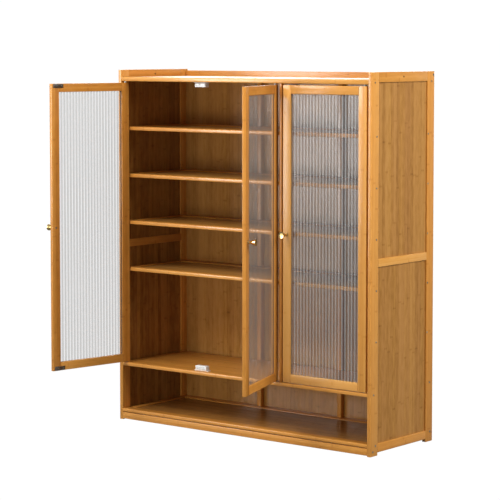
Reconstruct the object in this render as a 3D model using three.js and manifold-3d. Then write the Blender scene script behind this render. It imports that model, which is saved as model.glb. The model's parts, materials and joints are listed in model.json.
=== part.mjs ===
// Three-door bamboo shoe cabinet, millimetres, +Z up, front towards -Y.
// The carcass is two framed sides, a top, a floor over an open bottom bay, a base and four shelves,
// tied at the back by two battens and a thin back panel. Three framed doors with reeded acrylic
// sheets turn on steel pivot pins. The left and middle doors stand open, the right one is shut.
import * as THREE from "three";
import { mergeVertices } from "three/addons/utils/BufferGeometryUtils.js";
import Module from "manifold-3d";

const wasm = await Module();
wasm.setup();

// ---- driving dimensions -------------------------------------------------------------------
const width = 1016;
const depth = 338;
const height = 1160;

const sideThick = 13; // posts and rails of a side frame, across the cabinet
const postDepth = 38;
const sideRail = { top: 31, middle: 25, bottom: 27 }; // how tall each rail is
const middleRailTop = 598.5;
const footHeight = 9; // the posts stand this far below the bottom rail
const sidePanelThick = 3;
const panelGroove = 5; // depth of the groove that holds a panel
const grooveEase = 0.2; // air on each face of a panel in its groove
const edgeRound = 1.5; // softened long edges of a bar
const boardRound = 3; // rounded edges of the top and floor boards
const shelfRound = 2.5;

const topDrop = 23; // the side frames rise this far above the top board
const topThick = 14.5;
const floorTop = 193;
const boardThick = 12;
const baseTop = 37.5;
const baseThick = 11;
const apron = { low: 3, high: 24.5, thick: 12 };
const galleryTop = 1155;
const galleryThick = 12; // the rail behind the top board, which rises above it

const shelfCount = 4;
const shelfPitch = 155;
const lowestShelf = 502; // middle of the lowest shelf's thickness
const shelfFront = 18;
const shelfRail = 38; // front and back rails of a shelf frame
const shelfEnd = 24; // end rails of a shelf frame
const shelfPanelThick = 4;
const shelfPanelDrop = 3; // the panel lies this far below its frame's top

const backPanelFront = 329;
const backPanelThick = 4;
const batten = { wide: 16, front: 312 };
const centrePost = { wide: 9, deep: 14 };

const door = { wide: 315, thick: 12, low: 195, high: 1118, stile: 30, rail: 27 };
const sideGap = 5; // door to side post
const centreGap = 10.5; // middle door to the centre post
const rightDoorGap = 4.5; // right door to the centre post
const acrylicThick = 3;
const openLeft = 99.5; // degrees from shut, as the cabinet stands
const openMiddle = 110;

const pin = { inset: 9, radius: 2.5, inDoor: 20, inBoard: 4.5, collarRadius: 5, bore: 2.8 };
const boreSpare = 1; // a pin's blind hole is this much deeper than the pin reaches
const joint = 0.3; // air between the members of a door
const knob = { length: 27, flare: 10.5, neck: 4, foot: 5.5, footThick: 1.5, stem: 2.5, lip: 0.8 };
const knobCurve = 2.6; // how late the trumpet opens out
const doubleCatchWide = 44;
const singleCatchWide = 26;
const catchBody = { front: 14, deep: 18, tall: 14, round: 2 };
const catchFlange = { over: 6, thick: 2, setBack: 2 };

// ---- derived places -----------------------------------------------------------------------
const innerLeft = sideThick;
const innerRight = width - sideThick;
const innerWidth = innerRight - innerLeft;
const topBoardTop = height - topDrop;
const topBoardLow = topBoardTop - topThick;
const floorLow = floorTop - boardThick;
const thirds = [innerLeft + innerWidth / 3, innerLeft + (innerWidth * 2) / 3];
const centreX = thirds[1];
const leftPinX = innerLeft + sideGap + pin.inset;
const middlePinX = centreX - centrePost.wide / 2 - centreGap - pin.inset;
const rightPinX = centreX + centrePost.wide / 2 + rightDoorGap + door.wide - pin.inset;
const pinY = door.thick / 2;
const leafMeet = (leftPinX + middlePinX) / 2; // where the two leaves meet when shut

// ---- finishes -----------------------------------------------------------------------------
const finish = {
  frame: new THREE.MeshStandardMaterial({ color: 0xdfa45f, roughness: 0.42, metalness: 0 }),
  panel: new THREE.MeshStandardMaterial({ color: 0xa87843, roughness: 0.4, metalness: 0 }),
  acrylic: new THREE.MeshStandardMaterial({
    color: 0xd6d4d0,
    roughness: 0.25,
    metalness: 0,
    transparent: true,
    opacity: 0.55,
  }),
  brass: new THREE.MeshStandardMaterial({ color: 0xc99a45, roughness: 0.22, metalness: 1 }),
  steel: new THREE.MeshStandardMaterial({ color: 0x9a9a96, roughness: 0.35, metalness: 1 }),
  white: new THREE.MeshStandardMaterial({ color: 0xf1f0ec, roughness: 0.45, metalness: 0 }),
};

// ---- shape helpers ------------------------------------------------------------------------
// Each axis has the two directions (a, b) of a section and the direction it is extruded in.
const sectionAxes = {
  x: ["y", "z", "x"],
  y: ["z", "x", "y"],
  z: ["x", "y", "z"],
};
const unit = {
  x: new THREE.Vector3(1, 0, 0),
  y: new THREE.Vector3(0, 1, 0),
  z: new THREE.Vector3(0, 0, 1),
};

// A quarter turn of points round a corner, starting at the angle given in quarter turns.
function cornerPoints(a, b, radius, quarter, steps = 3) {
  const points = [];
  for (let i = 0; i <= steps; i++) {
    const angle = ((quarter + i / steps) * Math.PI) / 2;
    points.push([a + radius * Math.cos(angle), b + radius * Math.sin(angle)]);
  }
  return points;
}

// A rectangle with rounded corners and, on any side, a groove: { side: "a+", at, wide, deep }.
function section([a0, a1], [b0, b1], grooves = [], round = edgeRound) {
  const groove = (side) => grooves.find((g) => g.side === side);
  const notch = (g, place) => {
    if (!g) return [];
    const [near, far] = [g.at - g.wide / 2, g.at + g.wide / 2];
    return place(near, far, g.deep);
  };
  return [
    ...cornerPoints(a0 + round, b0 + round, round, 2),
    ...notch(groove("b-"), (n, f, d) => [[n, b0], [n, b0 + d], [f, b0 + d], [f, b0]]),
    ...cornerPoints(a1 - round, b0 + round, round, 3),
    ...notch(groove("a+"), (n, f, d) => [[a1, n], [a1 - d, n], [a1 - d, f], [a1, f]]),
    ...cornerPoints(a1 - round, b1 - round, round, 0),
    ...notch(groove("b+"), (n, f, d) => [[f, b1], [f, b1 - d], [n, b1 - d], [n, b1]]),
    ...cornerPoints(a0 + round, b1 - round, round, 1),
    ...notch(groove("a-"), (n, f, d) => [[a0, f], [a0 + d, f], [a0 + d, n], [a0, n]]),
  ];
}

function extrudeAlong(axis, outline, [from, to]) {
  const shape = new THREE.Shape(outline.map(([a, b]) => new THREE.Vector2(a, b)));
  const geometry = new THREE.ExtrudeGeometry(shape, { depth: to - from, bevelEnabled: false });
  geometry.translate(0, 0, from);
  const basis = sectionAxes[axis].map((name) => unit[name]);
  return geometry.applyMatrix4(new THREE.Matrix4().makeBasis(...basis));
}

// A bar with softened long edges. ranges is { x: [low, high], y: ..., z: ... }.
function bar(axis, ranges, grooves = [], round = edgeRound) {
  const [a, b, along] = sectionAxes[axis];
  return extrudeAlong(axis, section(ranges[a], ranges[b], grooves, round), ranges[along]);
}

function block(ranges) {
  const size = ["x", "y", "z"].map((k) => ranges[k][1] - ranges[k][0]);
  const middle = ["x", "y", "z"].map((k) => (ranges[k][1] + ranges[k][0]) / 2);
  return new THREE.BoxGeometry(...size).translate(...middle);
}

function rod(radius, x, y, [z0, z1], sides = 20) {
  const geometry = new THREE.CylinderGeometry(radius, radius, z1 - z0, sides);
  return geometry.rotateX(Math.PI / 2).translate(x, y, (z0 + z1) / 2);
}

function toSolid(geometry) {
  const bare = geometry.index ? geometry.toNonIndexed() : geometry.clone();
  bare.deleteAttribute("normal");
  bare.deleteAttribute("uv");
  const merged = mergeVertices(bare, 1e-3);
  const mesh = new wasm.Mesh({
    numProp: 3,
    vertProperties: merged.attributes.position.array,
    triVerts: new Uint32Array(merged.index.array),
  });
  return new wasm.Manifold(mesh);
}

function toGeometry(solid) {
  const mesh = solid.getMesh();
  const geometry = new THREE.BufferGeometry();
  geometry.setAttribute("position", new THREE.BufferAttribute(mesh.vertProperties.slice(), 3));
  geometry.setIndex(new THREE.BufferAttribute(mesh.triVerts.slice(), 1));
  const facets = geometry.toNonIndexed();
  facets.computeVertexNormals();
  return facets;
}

function cut(geometry, ...tools) {
  let solid = toSolid(geometry);
  for (const tool of tools) solid = solid.subtract(toSolid(tool));
  return toGeometry(solid);
}

function join(geometry, ...others) {
  let solid = toSolid(geometry);
  for (const other of others) solid = solid.add(toSolid(other));
  return toGeometry(solid);
}

function add(group, name, geometry, material) {
  const mesh = new THREE.Mesh(geometry, material);
  mesh.name = name;
  group.add(mesh);
  return mesh;
}

// ---- side frames --------------------------------------------------------------------------
const panelInGroove = panelGroove - 0.5;
const sideGrooveWide = sidePanelThick + 2 * grooveEase;
const backGroove = {
  at: backPanelFront + backPanelThick / 2,
  wide: backPanelThick + 2 * grooveEase,
  deep: 4,
};

function addSide(group, name, x, innerSide) {
  const middleX = (x[0] + x[1]) / 2;
  const groove = (side) => ({ side, at: middleX, wide: sideGrooveWide, deep: panelGroove });
  const whole = [0, height];
  const frontPost = { x, y: [0, postDepth], z: whole };
  const backPost = { x, y: [depth - postDepth, depth], z: whole };
  const backPostGrooves = [groove("b-"), { side: innerSide, ...backGroove }];
  add(group, `${name}_front_post`, bar("z", frontPost, [groove("b+")]), finish.frame);
  add(group, `${name}_back_post`, bar("z", backPost, backPostGrooves), finish.frame);

  const between = [postDepth, depth - postDepth];
  const middleRail = [middleRailTop - sideRail.middle, middleRailTop];
  const rails = [
    ["top", [height - sideRail.top, height], ["a-"]],
    ["middle", middleRail, ["a-", "a+"]],
    ["bottom", [footHeight, footHeight + sideRail.bottom], ["a+"]],
  ];
  for (const [label, z, sides] of rails) {
    const rail = bar("y", { x, y: between, z }, sides.map(groove));
    add(group, `${name}_${label}_rail`, rail, finish.frame);
  }

  const panelX = [middleX - sidePanelThick / 2, middleX + sidePanelThick / 2];
  const panelY = [between[0] - panelInGroove, between[1] + panelInGroove];
  const panels = [
    ["upper", middleRail[1], height - sideRail.top],
    ["lower", footHeight + sideRail.bottom, middleRail[0]],
  ];
  for (const [label, low, high] of panels) {
    const z = [low - panelInGroove, high + panelInGroove];
    add(group, `${name}_${label}_panel`, block({ x: panelX, y: panelY, z }), finish.panel);
  }
}

// ---- top, floor, base, rails and back -----------------------------------------------------
const pinHoles = [leftPinX, middlePinX, rightPinX];
const across = [innerLeft, innerRight];

// The top board butts against the gallery rail, which holds the back panel's upper edge.
function addTop(group) {
  const back = depth - galleryThick;
  const ranges = { x: across, y: [0, back], z: [topBoardLow, topBoardTop] };
  const hole = [topBoardLow - boreSpare, topBoardLow + pin.inBoard + boreSpare];
  const holes = pinHoles.map((x) => rod(pin.bore, x, pinY, hole));
  add(group, "top_board", cut(bar("x", ranges, [], boardRound), ...holes), finish.frame);
  const rail = { x: across, y: [back, depth], z: [topBoardLow, galleryTop] };
  add(group, "gallery_rail", bar("x", rail, [{ side: "b-", ...backGroove }]), finish.frame);
}

function addFloor(group) {
  const ranges = { x: across, y: [0, batten.front], z: [floorLow, floorTop] };
  const hole = [floorTop - pin.inBoard - boreSpare, floorTop + boreSpare];
  const holes = pinHoles.map((x) => rod(pin.bore, x, pinY, hole));
  add(group, "floor_board", cut(bar("x", ranges, [], boardRound), ...holes), finish.frame);
}

// A frame of four rails round a thin panel, which lies in a groove a little below the top.
function addFramedShelf(group, name, y, z) {
  const inside = {
    x: [across[0] + shelfEnd, across[1] - shelfEnd],
    y: [y[0] + shelfRail, y[1] - shelfRail],
    z: [z[0] - boreSpare, z[1] + boreSpare],
  };
  const panelTop = z[1] - shelfPanelDrop;
  const panelZ = [panelTop - shelfPanelThick, panelTop];
  const grown = ([low, high], by) => [low - by, high + by];
  const grooveSpace = {
    x: grown(inside.x, panelGroove),
    y: grown(inside.y, panelGroove),
    z: grown(panelZ, grooveEase),
  };
  const panelSpace = {
    x: grown(inside.x, panelInGroove),
    y: grown(inside.y, panelInGroove),
    z: panelZ,
  };
  const blank = bar("x", { x: across, y, z }, [], shelfRound);
  const frame = cut(blank, block(inside), block(grooveSpace));
  add(group, `${name}_frame`, frame, finish.frame);
  add(group, `${name}_panel`, block(panelSpace), finish.panel);
}

function addCarcassRails(group) {
  const z = [apron.low, apron.high];
  add(group, "front_apron", bar("x", { x: across, y: [0, apron.thick], z }), finish.frame);
  const rear = { x: across, y: [depth - apron.thick, depth], z };
  add(group, "rear_apron", bar("x", rear), finish.frame);

  const post = {
    x: [centreX - centrePost.wide / 2, centreX + centrePost.wide / 2],
    y: [0, centrePost.deep],
    z: [floorTop, topBoardLow],
  };
  add(group, "centre_post", bar("z", post), finish.frame);
  for (const [i, x] of thirds.entries()) {
    const strip = {
      x: [x - batten.wide / 2, x + batten.wide / 2],
      y: [batten.front, backPanelFront],
      z: [baseTop, topBoardLow],
    };
    add(group, `back_batten_${i + 1}`, bar("z", strip), finish.frame);
  }

  const reach = backGroove.deep - 0.5;
  const panel = {
    x: [innerLeft - reach, innerRight + reach],
    y: [backPanelFront, backPanelFront + backPanelThick],
    z: [apron.high, topBoardLow + reach],
  };
  add(group, "back_panel", block(panel), finish.panel);
}

// ---- magnetic catches ---------------------------------------------------------------------
// hangs is +1 under the top board and -1 on the floor board.
function addCatch(group, name, x, wide, z, hangs) {
  const y = [catchBody.front, catchBody.front + catchBody.deep];
  const span = (half) => [x - half, x + half];
  const downTo = (from, to) => [z - hangs * from, z - hangs * to].sort((p, q) => p - q);
  const flange = {
    x: span(wide / 2 + catchFlange.over),
    y: [y[0] + catchFlange.setBack, y[1]],
    z: downTo(0, catchFlange.thick),
  };
  const casing = {
    x: span(wide / 2),
    y,
    z: downTo(catchFlange.thick / 2, catchFlange.thick + catchBody.tall),
  };
  const body = bar("y", casing, [], catchBody.round);
  add(group, name, join(block(flange), body), finish.white);
}

// ---- doors --------------------------------------------------------------------------------
// A trumpet-shaped pull, its axis along -Y, seated at y = 0 on the door's outer face.
function knobGeometry() {
  const { length, flare, neck, foot, footThick, stem, lip } = knob;
  const profile = [[0, 0], [foot, 0], [foot, footThick]];
  const steps = 9;
  for (let i = 0; i <= steps; i++) {
    const t = i / steps;
    const radius = neck + (flare - neck) * Math.pow(t, knobCurve);
    profile.push([radius, stem + (length - stem - 2 * lip) * t]);
  }
  profile.push([flare, length - lip], [flare - lip, length], [0, length]);
  const points = profile.map(([r, h]) => new THREE.Vector2(r, h));
  return new THREE.LatheGeometry(points, 28).rotateX(Math.PI);
}

// A pin with a collar. It stands in the door's end and turns in the board's blind hole.
function pinGeometry(doorEnd, boardFace) {
  const away = Math.sign(boardFace - doorEnd);
  const collarThick = Math.abs(boardFace - doorEnd) - 2 * joint;
  const heights = {
    inner: doorEnd - away * pin.inDoor,
    collarIn: doorEnd + away * joint,
    collarOut: doorEnd + away * (joint + collarThick),
    tip: boardFace + away * pin.inBoard,
  };
  const profile = [
    [0, heights.inner],
    [pin.radius, heights.inner],
    [pin.radius, heights.collarIn],
    [pin.collarRadius, heights.collarIn],
    [pin.collarRadius, heights.collarOut],
    [pin.radius, heights.collarOut],
    [pin.radius, heights.tip],
    [0, heights.tip],
  ];
  if (away < 0) profile.reverse();
  const points = profile.map(([r, z]) => new THREE.Vector2(r, z));
  return new THREE.LatheGeometry(points, 20).rotateX(Math.PI / 2);
}

// hand is +1 for a door hinged on its left and -1 for one hinged on its right.
// Inside the group, x is 0 on the pin's axis and y is 0 at the middle of the door's thickness.
function addDoor(group, name, pinX, hand, turn) {
  const leaf = new THREE.Group();
  leaf.position.set(pinX, pinY, 0);
  leaf.rotation.z = THREE.MathUtils.degToRad(turn);
  group.add(leaf);

  const place = (u) => hand * (u - pin.inset);
  const spanX = (u0, u1) => [place(u0), place(u1)].sort((p, q) => p - q);
  const y = [-door.thick / 2, door.thick / 2];
  const whole = [door.low, door.high];
  const grooveWide = acrylicThick + 2 * grooveEase;
  const groove = (side) => ({ side, at: 0, wide: grooveWide, deep: panelGroove });
  const towardsFree = hand > 0 ? "a+" : "a-";
  const towardsHinge = hand > 0 ? "a-" : "a+";

  const hingeX = spanX(0, door.stile);
  const hingeStile = bar("z", { x: hingeX, y, z: whole }, [groove(towardsFree)]);
  const bores = [
    rod(pin.bore, 0, 0, [door.low - boreSpare, door.low + pin.inDoor + joint]),
    rod(pin.bore, 0, 0, [door.high - pin.inDoor - joint, door.high + boreSpare]),
  ];
  add(leaf, `${name}_hinge_stile`, cut(hingeStile, ...bores), finish.frame);
  const freeX = spanX(door.wide - door.stile, door.wide);
  const freeStile = bar("z", { x: freeX, y, z: whole }, [groove(towardsHinge)]);
  add(leaf, `${name}_outer_stile`, freeStile, finish.frame);

  const railX = spanX(door.stile + joint, door.wide - door.stile - joint);
  const topRail = { x: railX, y, z: [door.high - door.rail, door.high] };
  const bottomRail = { x: railX, y, z: [door.low, door.low + door.rail] };
  add(leaf, `${name}_top_rail`, bar("x", topRail, [groove("b-")]), finish.frame);
  add(leaf, `${name}_bottom_rail`, bar("x", bottomRail, [groove("b+")]), finish.frame);

  const sheet = {
    x: spanX(door.stile - panelInGroove, door.wide - door.stile + panelInGroove),
    y: [-acrylicThick / 2, acrylicThick / 2],
    z: [door.low + door.rail - panelInGroove, door.high - door.rail + panelInGroove],
  };
  add(leaf, `${name}_acrylic`, block(sheet), finish.acrylic);

  const pull = add(leaf, `${name}_knob`, knobGeometry(), finish.brass);
  pull.position.set(place(door.wide - door.stile / 2), -door.thick / 2 - joint, (door.low + door.high) / 2);
  add(leaf, `${name}_top_pin`, pinGeometry(door.high, topBoardLow), finish.steel);
  add(leaf, `${name}_bottom_pin`, pinGeometry(door.low, floorTop), finish.steel);
}

// ---- assembly -----------------------------------------------------------------------------
// The frame's origin is on the floor line, at the middle of the back face.
const cabinet = new THREE.Group();
const placed = new THREE.Group();
placed.position.set(-width / 2, -depth, 0);
cabinet.add(placed);

addSide(placed, "left", [0, sideThick], "a+");
addSide(placed, "right", [width - sideThick, width], "a-");
addTop(placed);
addFloor(placed);
addFramedShelf(placed, "base", [0, backPanelFront], [baseTop - baseThick, baseTop]);
for (let i = 0; i < shelfCount; i++) {
  const middle = lowestShelf + shelfPitch * (shelfCount - 1 - i);
  const z = [middle - boardThick / 2, middle + boardThick / 2];
  addFramedShelf(placed, `shelf_${i + 1}`, [shelfFront, batten.front], z);
}
addCarcassRails(placed);
addCatch(placed, "double_catch_top", leafMeet, doubleCatchWide, topBoardLow, 1);
addCatch(placed, "double_catch_bottom", leafMeet, doubleCatchWide, floorTop, -1);
const rightLeafEdge = rightPinX + pin.inset - door.wide;
addCatch(placed, "right_catch", rightLeafEdge + singleCatchWide, singleCatchWide, topBoardLow, 1);
addDoor(placed, "left_door", leftPinX, 1, -openLeft);
addDoor(placed, "middle_door", middlePinX, -1, openMiddle);
addDoor(placed, "right_door", rightPinX, -1, 0);

export default cabinet;
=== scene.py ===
import json
import math
import random
import bmesh
import bpy
from mathutils import Matrix, Vector


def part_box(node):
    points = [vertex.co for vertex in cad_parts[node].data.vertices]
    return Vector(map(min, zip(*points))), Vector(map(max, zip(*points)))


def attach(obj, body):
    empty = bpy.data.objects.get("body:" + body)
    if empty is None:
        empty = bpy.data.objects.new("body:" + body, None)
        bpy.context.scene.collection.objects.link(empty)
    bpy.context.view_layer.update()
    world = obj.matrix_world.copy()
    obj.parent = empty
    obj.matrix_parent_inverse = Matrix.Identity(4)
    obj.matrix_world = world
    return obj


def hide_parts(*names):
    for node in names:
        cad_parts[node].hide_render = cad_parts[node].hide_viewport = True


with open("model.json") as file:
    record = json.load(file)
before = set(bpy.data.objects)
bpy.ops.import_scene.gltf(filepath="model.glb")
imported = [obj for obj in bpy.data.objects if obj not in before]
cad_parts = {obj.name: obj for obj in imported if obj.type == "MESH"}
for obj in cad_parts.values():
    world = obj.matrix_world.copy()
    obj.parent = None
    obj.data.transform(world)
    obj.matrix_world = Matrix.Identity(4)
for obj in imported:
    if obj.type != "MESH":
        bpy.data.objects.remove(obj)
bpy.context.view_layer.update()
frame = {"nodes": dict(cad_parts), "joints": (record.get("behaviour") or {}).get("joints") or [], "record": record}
bodies = frame["record"]["behaviour"]["bodies"]
bodyOf = {node: body for body, members in bodies.items() for node in members}
mm = 0.001
print("frame loaded:", len(bodyOf), "nodes")


class Wire:  # one output socket, so that sums on it can be written as sums
    def __init__(self, nodes, socket):
        self.nodes, self.socket = nodes, socket

    def out(self, name):
        return Wire(self.nodes, self.socket.node.outputs[name])

    def maths(self, operation, *others):
        inputs = dict(enumerate((self, *others)))
        return self.nodes.add("ShaderNodeMath", {"operation": operation}, inputs)

    def reversedMaths(self, operation, other):
        return self.nodes.add("ShaderNodeMath", {"operation": operation}, {0: other, 1: self})

    def __add__(self, other):
        return self.maths("ADD", other)

    def __sub__(self, other):
        return self.maths("SUBTRACT", other)

    def __rsub__(self, other):
        return self.reversedMaths("SUBTRACT", other)

    def __mul__(self, other):
        return self.maths("MULTIPLY", other)

    def __truediv__(self, other):
        return self.maths("DIVIDE", other)

    def __rtruediv__(self, other):
        return self.reversedMaths("DIVIDE", other)

    __radd__ = __add__
    __rmul__ = __mul__


class Nodes:  # adds nodes to one shader or geometry tree
    def __init__(self, tree):
        self.tree = tree

    def add(self, kind, settings=None, inputs=None, output=0):
        node = self.tree.nodes.new(kind)
        for name, value in (settings or {}).items():
            if name == "stops":
                ramp = node.color_ramp
                while len(ramp.elements) < len(value):
                    ramp.elements.new(0.5)
                for element, (at, colour) in zip(ramp.elements, value):
                    element.position, element.color = at, (*colour, 1)
            else:
                setattr(node, name, value)
        for name, value in (inputs or {}).items():
            if isinstance(value, Wire):
                self.tree.links.new(value.socket, node.inputs[name])
            else:
                node.inputs[name].default_value = value
        return Wire(self, node.outputs[output]) if len(node.outputs) else None

    def vector(self, x, y, z):
        return self.add("ShaderNodeCombineXYZ", inputs={0: x, 1: y, 2: z})

    def noise(self, vector, scale, detail=2, roughness=0.5):
        inputs = {"Vector": vector, "Scale": scale, "Detail": detail, "Roughness": roughness}
        return self.add("ShaderNodeTexNoise", inputs=inputs)

    def step(self, value, start, end, low=0.0, high=1.0):
        inputs = {"Value": value, "From Min": start, "From Max": end, "To Min": low, "To Max": high}
        return self.add("ShaderNodeMapRange", {"interpolation_type": "SMOOTHSTEP"}, inputs)

    def blend(self, factor, first, second):
        # 6 and 7 are the Mix node's colour inputs, and 2 its colour output
        inputs = {"Factor": factor, 6: first, 7: second}
        return self.add("ShaderNodeMix", {"data_type": "RGBA"}, inputs, 2)

    def bump(self, height, strength, distance):
        inputs = {"Height": height, "Strength": strength, "Distance": distance}
        return self.add("ShaderNodeBump", inputs=inputs)

    def objectShape(self, source):
        return self.add("GeometryNodeObjectInfo", inputs={"Object": source}, output="Geometry")

    def finishTree(self, shape, material):
        real = self.add("GeometryNodeRealizeInstances", inputs={0: shape})
        inputs = {"Geometry": real, "Material": material}
        self.add("NodeGroupOutput", inputs={0: self.add("GeometryNodeSetMaterial", inputs=inputs)})


def newMaterial(name):
    material = bpy.data.materials.new(name)
    material.use_nodes = True
    material.node_tree.nodes.clear()
    return material, Nodes(material.node_tree)


def attribute(nodes, name):
    output = "Vector" if name in ("grain", "sheet") else "Fac"
    return nodes.add("ShaderNodeAttribute", {"attribute_name": name}, output=output)


def surface(nodes, shader):
    nodes.add("ShaderNodeOutputMaterial", inputs={"Surface": shader})


# On wood, "grain" holds at each point the metres along the grain, the strips across it and the
# metres through the thickness, "edge" is 1 on rounded edges, and the per-piece tone holds a
# random tone plus painted light or shade.
frameLook = {
    "stripWidth": 0.0127,
    "stripContrast": 0.22,
    "bandContrast": 0.50,
    "fibreContrast": 0.34,
    "mottleContrast": 0.30,
    "knuckleDepth": 0.16,
    "glueDepth": 0.07,
    "edgeLight": 0.10,
    "rosy": 0.30,
    "stops": [  # from the darkest tone to the lightest
        (0.0, (0.31, 0.098, 0.013)),
        (0.36, (0.52, 0.208, 0.032)),
        (0.62, (0.66, 0.300, 0.058)),
        (1.0, (0.80, 0.43, 0.12)),
    ],
    "rosyColour": (0.64, 0.235, 0.045, 1),
    "roughness": 0.36,
    "specular": 0.2,
    "coat": 0.36,
    "coatRoughness": 0.20,
}
panelLook = {
    **frameLook,
    "stripWidth": 0.0150,
    "stripContrast": 0.34,
    "bandContrast": 0.55,
    "fibreContrast": 0.42,
    "mottleContrast": 0.70,
    "knuckleDepth": 0.22,
    "glueDepth": 0.08,
    "edgeLight": 0.0,
    "rosy": 0.45,
    "stops": [
        (0.0, (0.20, 0.078, 0.013)),
        (0.36, (0.345, 0.155, 0.030)),
        (0.62, (0.445, 0.212, 0.047)),
        (1.0, (0.555, 0.290, 0.078)),
    ],
    "rosyColour": (0.38, 0.170, 0.055, 1),
    "coat": 0.20,
    "coatRoughness": 0.16,
}
grainPlan = {
    "knuckleSpacing": 0.31,
    "knuckleHalfWidth": 0.005,
    "knuckleWander": 0.004,
    "glueWidth": 0.0007,
    "bands": (1.1, 110, 3),  # noise cells per metre along and across the grain, and detail
    "fibres": (7, 620, 3),
    "mottles": (24, 85, 2),
    "streakRoughness": 0.6,
    "secondTone": 57.3,  # sets the second random tone of a strip apart from the first
    "edgeWear": 0.6,
    "mottleWear": 1.4,
    "rosyStrips": 0.7,
    "rougher": {"fibre": 0.16, "knuckle": 0.10, "wear": 0.08},
    "raised": {"fibre": 0.5, "knuckle": 0.35, "glue": -0.6},
    "wornCoat": 0.15,
    "bumpStrength": 0.25,
    "bumpDepth": 0.0004,
}


def bambooMaterial(name, look):
    material, nodes = newMaterial(name)
    plan, rougher, raised = grainPlan, grainPlan["rougher"], grainPlan["raised"]
    along = nodes.add("ShaderNodeSeparateXYZ", inputs={0: attribute(nodes, "grain")})
    strips, through = along.out("Y"), along.out("Z")
    across = strips * look["stripWidth"]
    number, inStrip = strips.maths("FLOOR"), strips.maths("FRACT")

    def streaks(alongScale, acrossScale, detail):
        place = nodes.vector(along * alongScale, across * acrossScale, through * acrossScale)
        return nodes.noise(place, 1, detail, plan["streakRoughness"]) - 0.5

    def randomTone(seed):
        return nodes.add("ShaderNodeTexWhiteNoise", {"noise_dimensions": "1D"}, {"W": seed})

    stripTone, otherTone = randomTone(number), randomTone(number + plan["secondTone"])
    band, fibre, mottle = (streaks(*plan[kind]) for kind in ("bands", "fibres", "mottles"))

    # knuckles of the cane, at another height on each strip
    turns = (along / plan["knuckleSpacing"] + otherTone).maths("FRACT")
    fromKnuckle = (turns - 0.5).maths("ABSOLUTE") * plan["knuckleSpacing"]
    fromKnuckle = fromKnuckle + fibre * plan["knuckleWander"]
    knuckle = nodes.step(fromKnuckle, 0, plan["knuckleHalfWidth"], 1, 0)
    fromGlue = inStrip.maths("MINIMUM", 1 - inStrip) * look["stripWidth"]
    glue = nodes.step(fromGlue, 0, plan["glueWidth"], 1, 0)
    wear = attribute(nodes, "edge") * (plan["edgeWear"] + mottle * plan["mottleWear"])

    tone = 0.5 + (stripTone - 0.5) * look["stripContrast"] + band * look["bandContrast"]
    tone = tone + fibre * look["fibreContrast"] + mottle * look["mottleContrast"]
    tone = tone - knuckle * look["knuckleDepth"] - glue * look["glueDepth"]
    # the per-piece value is a random tone plus painted light or shade
    tone = tone + wear * look["edgeLight"] + attribute(nodes, "tint")
    colour = nodes.add("ShaderNodeValToRGB", {"stops": look["stops"]}, {0: tone})
    rosy = (otherTone * plan["rosyStrips"] + band + mottle) * look["rosy"]
    colour = nodes.blend(rosy.maths("MAXIMUM", 0), colour, look["rosyColour"])

    roughness = look["roughness"] + fibre * rougher["fibre"]
    roughness = roughness + knuckle * rougher["knuckle"] + wear * rougher["wear"]
    height = fibre * raised["fibre"] + knuckle * raised["knuckle"] + glue * raised["glue"]
    shader = nodes.add("ShaderNodeBsdfPrincipled", inputs={
        "Base Color": colour,
        "Roughness": roughness,
        "IOR": 1.5,
        "Specular IOR Level": look["specular"],
        "Coat Weight": look["coat"] - wear * plan["wornCoat"],
        "Coat Roughness": look["coatRoughness"],
        "Coat IOR": 1.5,
        "Normal": nodes.bump(height, plan["bumpStrength"], plan["bumpDepth"]),
    })
    surface(nodes, shader)
    return material


bambooFrame = bambooMaterial("bambooFrame", frameLook)
bambooPanel = bambooMaterial("bambooPanel", panelLook)

brassLook = {"colour": (0.83, 0.60, 0.25), "dull": (0.66, 0.44, 0.16), "roughness": 0.17}
steelLook = {"colour": (0.34, 0.335, 0.32), "dull": (0.20, 0.195, 0.185), "roughness": 0.34}
screwLook = {"colour": (0.42, 0.45, 0.40), "dull": (0.16, 0.17, 0.15), "roughness": 0.38}
# near-black discs, painted shade standing in for the inside of the small holes in the side rails
holeShadeLook = {"colour": (0.045, 0.022, 0.010), "dull": (0.02, 0.01, 0.005), "roughness": 0.8}
wearPlan = {
    "smudges": 180,  # noise cells per metre
    "smudgeDetail": 0.55,
    "brushDetail": 0.6,
    "smudgeFrom": 0.42,
    "smudgeTo": 0.72,
    "brushedRougher": 0.14,
    "wornRougher": 0.12,
    "bumpStrength": 0.15,
    "bumpDepth": 0.0001,
}


def metalMaterial(name, look, grain, metallic=1.0):
    # grain is how many noise cells a metre holds along each axis
    material, nodes = newMaterial(name)
    plan = wearPlan
    place = nodes.add("ShaderNodeTexCoord", output="Object")
    stretched = nodes.add("ShaderNodeVectorMath", {"operation": "MULTIPLY"}, {0: place, 1: grain})
    brushed = nodes.noise(stretched, 1, 3, plan["brushDetail"]) - 0.5
    smudges = nodes.noise(place, plan["smudges"], 3, plan["smudgeDetail"])
    worn = nodes.step(smudges, plan["smudgeFrom"], plan["smudgeTo"])
    colour = nodes.blend(worn, (*look["colour"], 1), (*look["dull"], 1))
    rougher = brushed * plan["brushedRougher"] + worn * plan["wornRougher"]
    shader = nodes.add("ShaderNodeBsdfPrincipled", inputs={
        "Base Color": colour,
        "Metallic": metallic,
        "Roughness": look["roughness"] + rougher,
        "Normal": nodes.bump(brushed, plan["bumpStrength"], plan["bumpDepth"]),
    })
    surface(nodes, shader)
    return material


brass = metalMaterial("brass", brassLook, (900, 900, 9000))
steel = metalMaterial("zincSteel", steelLook, (300, 300, 6000))
screwSteel = metalMaterial("screwSteel", screwLook, (2500, 2500, 2500))
paintedHoleShade = metalMaterial("paintedHoleShade", holeShadeLook, (1500, 1500, 1500), 0.0)

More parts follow.
